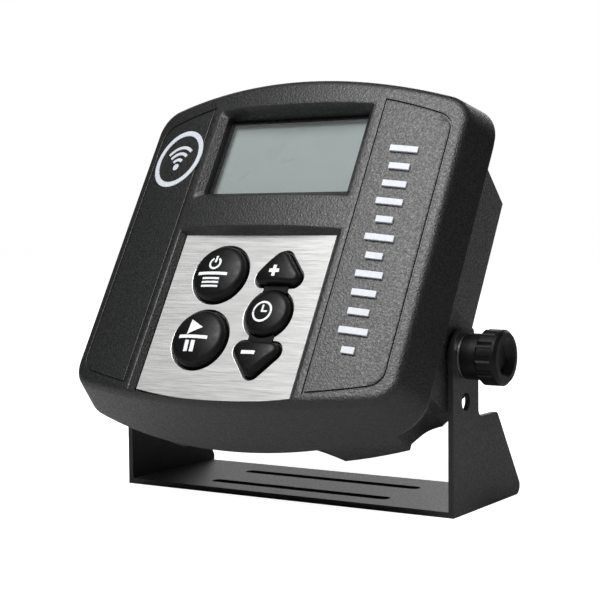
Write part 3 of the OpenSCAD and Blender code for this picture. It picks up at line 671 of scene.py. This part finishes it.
def carve(piece, cutters):
    """Takes the cutters' solids out of the piece."""
    for cutter in cutters:
        cut = piece.modifiers.new("cut", "BOOLEAN")
        cut.operation = "DIFFERENCE"
        cut.solver = "EXACT"
        cut.object = cutter
    bpy.context.view_layer.update()
    finished = piece.evaluated_get(bpy.context.evaluated_depsgraph_get())
    mesh = bpy.data.meshes.new_from_object(finished)
    piece.modifiers.clear()
    piece.data = mesh
    for cutter in cutters:
        bpy.data.objects.remove(cutter)


def smooth(piece, angle=30):
    """Smooth shading that breaks at edges sharper than the angle in degrees."""
    for polygon in piece.data.polygons:
        polygon.use_smooth = True
    piece.data.set_sharp_from_angle(angle=math.radians(angle))


def place(piece, body, look, slot, *nodes):
    """Finishes a piece: its material, the body it rides on and the CAD nodes it stands for."""
    piece.data.materials.clear()
    piece.data.materials.append(LOOKS[look])
    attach(piece, body)
    if nodes:
        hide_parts(*nodes)


# ---------------------------------------------------------------- front housing and keys

def front_housing():
    """Bowed shell with the display opening, keypad recess, panel grooves and key holes cut into it."""
    piece = loft("front_shell", housing_rings())
    cutters = [bezel_cutter(), recess_cutter()]
    cutters += [groove_cutter(side) for side in (-1, 1)]
    cutters += [hole_cutter(key) for key in KEYS]
    carve(piece, cutters)
    smooth(piece)
    place(piece, "head", "housing_front", "housing_front", "front_housing")


def dome_height(key, flat):
    """Height of the key's domed top over points given about its middle."""
    return KEYS[key][2] - DOME_R + np.sqrt(DOME_R**2 - np.sum(np.asarray(flat) ** 2, axis=1))


def key_cap(key):
    """Moulded key with a domed top, a broad soft edge and a flange under the housing's floor."""
    mid = np.array(KEYS[key][:2])
    edge = KEY_EDGE if key in ROUND_KEYS else CORNER_KEY_EDGE
    flange = key_outline(key, KEY_FLANGE) + mid
    waist = key_outline(key, 0) + mid
    rings = [
        at_height(flange, KEY_FOOT_W),
        at_height(flange, KEY_FLANGE_W),
        at_height(waist, KEY_FLANGE_W),
        at_height(waist, KEY_WAIST_W),
    ]
    for turn in np.linspace(0, math.pi / 2, KEY_RINGS):
        flat = key_outline(key, -edge * (1 - math.cos(turn)))
        height = dome_height(key, flat) - KEY_EDGE_DROP * edge * (1 - math.sin(turn))
        rings.append(np.column_stack([flat + mid, height]))
    top = key_outline(key, -edge)
    for share in np.linspace(0, KEY_LAST_RING, KEY_RINGS)[1:]:
        flat = top * (1 - share)
        rings.append(np.column_stack([flat + mid, dome_height(key, flat)]))
    piece = loft(key + "_cap", rings)
    smooth(piece, angle=40)
    place(piece, key + "_key", "key_rubber", "key_rubber", "key_" + key)


def key_necks():
    """Rubber webs that join the three keys of the right column."""
    flat = rounded_rectangle(NECK_HALF, CORNER_TIPS[1][1], TRIO_V, NECK_CORNER) + np.array([TRIO_U, 0])
    levels = (FLOOR_W + NECK_LIFT, FLOOR_W + NECK_T)
    piece = loft("key_necks", [at_height(flat, level) for level in levels])
    carve(piece, [hole_cutter(key) for key in ("plus", "delay", "minus")])
    smooth(piece)
    place(piece, "head", "key_rubber", "key_rubber")


def bar(u0, u1, v0, v1):
    """Straight stroke, as its lower line and then its upper line turned back."""
    along = np.linspace(u0, u1, ICON_STEPS)
    low = np.column_stack([along, np.full(ICON_STEPS, v0)])
    high = np.column_stack([along, np.full(ICON_STEPS, v1)])
    return np.concatenate([low, high[::-1]])


def wedge(u0, u1, mid_v, half_v):
    """Triangle that points along u."""
    along = np.linspace(u0, u1, ICON_STEPS)
    half = np.linspace(half_v, 0.02, ICON_STEPS)
    low = np.column_stack([along, mid_v - half])
    high = np.column_stack([along, mid_v + half])
    return np.concatenate([low, high[::-1]])


def open_ring(mid, radius, width, start, end):
    """Thick arc, as its outer line and then its inner line turned back."""
    outer = arc(mid, radius + width / 2, math.radians(start), math.radians(end), 3 * ICON_STEPS)
    inner = arc(mid, radius - width / 2, math.radians(end), math.radians(start), 3 * ICON_STEPS)
    return np.concatenate([outer, inner])


# strokes of each icon about its key's middle: power over a menu, play over pause, plus, clock, minus
ICONS = {
    "power": [open_ring((-0.9, 2.6), 2.1, 0.75, 120, 420), bar(-1.3, -0.5, 2.9, 5.6),
              bar(-7.0, 5.2, -1.9, -0.8), bar(-4.4, 2.6, -3.6, -2.9), bar(-4.4, 2.6, -5.0, -4.3),
              bar(-4.4, 2.6, -6.4, -5.7)],
    "play": [wedge(-3.2, 2.4, 3.1, 2.9), bar(-6.4, 5.4, -1.2, 0), bar(-3.0, -1.4, -6.0, -2.0),
             bar(-0.5, 1.1, -6.0, -2.0)],
    "plus": [bar(-2.6, 1.4, -1.6, -0.3), bar(-1.25, 0.05, -0.3, 1.1), bar(-1.25, 0.05, -3.0, -1.6)],
    "delay": [open_ring((-0.8, -0.3), 3.5, 0.75, 0, 178), open_ring((-0.8, -0.3), 3.5, 0.75, 182, 358),
              bar(-1.15, -0.45, -0.6, 2.1), bar(-0.45, 1.2, -0.6, 0)],
    "minus": [bar(-3.9, 1.6, -0.4, 0.9)],
}


def key_icon(key):
    """White print that lies on the key's dome."""
    points = []
    faces = []
    mid = np.array(KEYS[key][:2])
    for shape in ICONS[key]:
        count = len(shape)
        low, high = len(points), len(points) + count
        height = dome_height(key, shape)
        points += list(np.column_stack([shape + mid, height - ICON_SINK]))
        points += list(np.column_stack([shape + mid, height + ICON_HEIGHT]))
        for j in range(count // 2 - 1):
            rung = (j, j + 1, count - 2 - j, count - 1 - j)
            faces.append(tuple(high + k for k in rung))
            faces.append(tuple(low + k for k in rung[::-1]))
        for j in range(count):
            ahead = (j + 1) % count
            faces.append((low + j, low + ahead, high + ahead, high + j))
    piece = new_object(key + "_icon", points, faces)
    place(piece, key + "_key", "icon_white", "mark_white")


# ---------------------------------------------------------------- carried-over nodes

SAME_POINT = 2e-6
FLAT = math.radians(0.6)


def rounded(node, width, look, angle=35):
    """The CAD node's shape again, with its edges softened as moulding, bending or turning leaves them.

    The width is in mm, and edges sharper than the angle in degrees are softened.
    """
    source = frame["nodes"][node]
    shape = bmesh.new()
    shape.from_mesh(source.data)
    bmesh.ops.remove_doubles(shape, verts=shape.verts, dist=SAME_POINT)
    bmesh.ops.dissolve_limit(shape, angle_limit=FLAT, verts=shape.verts, edges=shape.edges)
    mesh = bpy.data.meshes.new(node + "_soft")
    shape.to_mesh(mesh)
    shape.free()
    piece = bpy.data.objects.new(node + "_soft", mesh)
    bpy.context.collection.objects.link(piece)
    soften = piece.modifiers.new("soft_edges", "BEVEL")
    soften.width = width * MM
    soften.segments = 3
    soften.limit_method = "ANGLE"
    soften.angle_limit = math.radians(angle)
    soften.use_clamp_overlap = True
    smooth(piece, angle)
    even = piece.modifiers.new("even_shading", "WEIGHTED_NORMAL")
    even.weight = 100
    even.keep_sharp = True
    place(piece, body_of(source)[0], look, look, node)


def dress(look, *nodes):
    """Gives CAD nodes a material."""
    for node in nodes:
        source = frame["nodes"][node]
        if not source.material_slots:
            source.data.materials.append(LOOKS[look])
        for material_slot in source.material_slots:
            material_slot.material = LOOKS[look]


def carried_over():
    """Materials of the CAD nodes that stay, and softened copies of those that show an edge."""
    dress("seal_rubber", "housing_gasket", "window_seal", "friction_washers")
    dress("steel", "housing_screws", "board_screws", "amplifier_screws", "stud_right", "stud_left")
    dress("window_clear", "display_window")
    dress("tin_plate", "lcd_frame")
    dress("display_glass", "lcd_glass")
    dress("display_light", "lcd_backlight")
    dress("circuit_board", "lcd_board", "main_board", "amplifier_board")
    dress("chip_black", "lcd_header", "board_chips", "amplifier_chip")
    dress("key_rubber", "keypad_mat")
    dress("carbon_pill", *("pill_" + key for key in KEYS))
    dress("ribbon_grey", "board_cable")
    dress("fin_aluminium", "heat_sink")
    dress("can_blue", "capacitors")
    dress("socket_plastic", "power_inlet", "speaker_socket")
    dress("contact_gold", "power_pins", "speaker_pins")
    dress("insert_brass", "pivot_inserts")
    dress("steel", "socket_nuts", "washer_right", "washer_left")
    rounded("bracket", 0.35, "bracket_paint")
    rounded("rear_housing", 0.7, "housing_rear", angle=32)
    rounded("keypad_plate", 0.15, "plate_silver")
    rounded("badge_ring", 0.12, "mark_white")
    rounded("badge_emblem", 0.1, "mark_white")
    rounded("side_bars", 0.15, "mark_white")
    for side in ("right", "left"):
        rounded("knob_" + side, 0.4, "knob_plastic", angle=25)


# ---------------------------------------------------------------- studio

def area_light(name, place_at, aim, size, watts):
    data = bpy.data.lights.new(name, "AREA")
    data.shape = "RECTANGLE"
    data.size, data.size_y = size
    data.energy = watts
    light = bpy.data.objects.new(name, data)
    turn = (Vector(aim) - Vector(place_at)).to_track_quat("-Z", "Y").to_matrix().to_4x4()
    light.matrix_world = Matrix.Translation(place_at) @ turn
    bpy.context.collection.objects.link(light)


def seen_or_lighting(nodes, links, seen, lighting):
    """Strength of a white backdrop: bright where it is seen, dim as a light on the object."""
    strength = nodes.new("ShaderNodeMapRange")
    strength.inputs["To Min"].default_value = lighting
    strength.inputs["To Max"].default_value = seen
    links.new(nodes.new("ShaderNodeLightPath").outputs["Is Camera Ray"], strength.inputs["Value"])
    return strength.outputs["Result"]


def studio():
    """Pale floor, pale world and three soft lights."""
    half = 3.0 / MM
    corners = [(-half, -half, 0), (half, -half, 0), (half, half, 0), (-half, half, 0)]
    floor = new_object("floor", corners, [(0, 1, 2, 3)], Matrix())
    look = Look("floor", (0.5, 0.5, 0.5), 0.9)
    look.tint(look.noise(0.5, detail=2), 0.995, 1.005)
    look.shader.inputs["Specular IOR Level"].default_value = 0.0
    look.shader.inputs["Emission Color"].default_value = (1, 1, 1, 1)
    links = look.links
    glow = seen_or_lighting(look.nodes, links, seen=0.97, lighting=0.02)
    links.new(glow, look.shader.inputs["Emission Strength"])
    floor.data.materials.append(look.material)
    aim = (0, 0, 0.08)
    area_light("key", (0.06, -0.62, 1.03), aim, size=(0.7, 0.7), watts=24)
    area_light("back", (-0.6, 1.1, 0.5), aim, size=(1.2, 0.6), watts=3.5)
    area_light("rear", (-0.1, 1.2, 0.5), aim, size=(0.9, 0.7), watts=2)
    world = bpy.data.worlds.new("studio")
    world.use_nodes = True
    nodes, links = world.node_tree.nodes, world.node_tree.links
    backdrop = nodes["Background"]
    backdrop.inputs["Color"].default_value = (1, 1, 1, 1)
    glow = seen_or_lighting(nodes, links, seen=1.0, lighting=0.03)
    links.new(glow, backdrop.inputs["Strength"])
    bpy.context.scene.world = world
    bpy.context.scene.view_settings.view_transform = "Standard"


add_camera()
LOOKS = make_looks()
front_housing()
window_mask()
for key_name in KEYS:
    key_cap(key_name)
    key_icon(key_name)
key_necks()
carried_over()
studio()
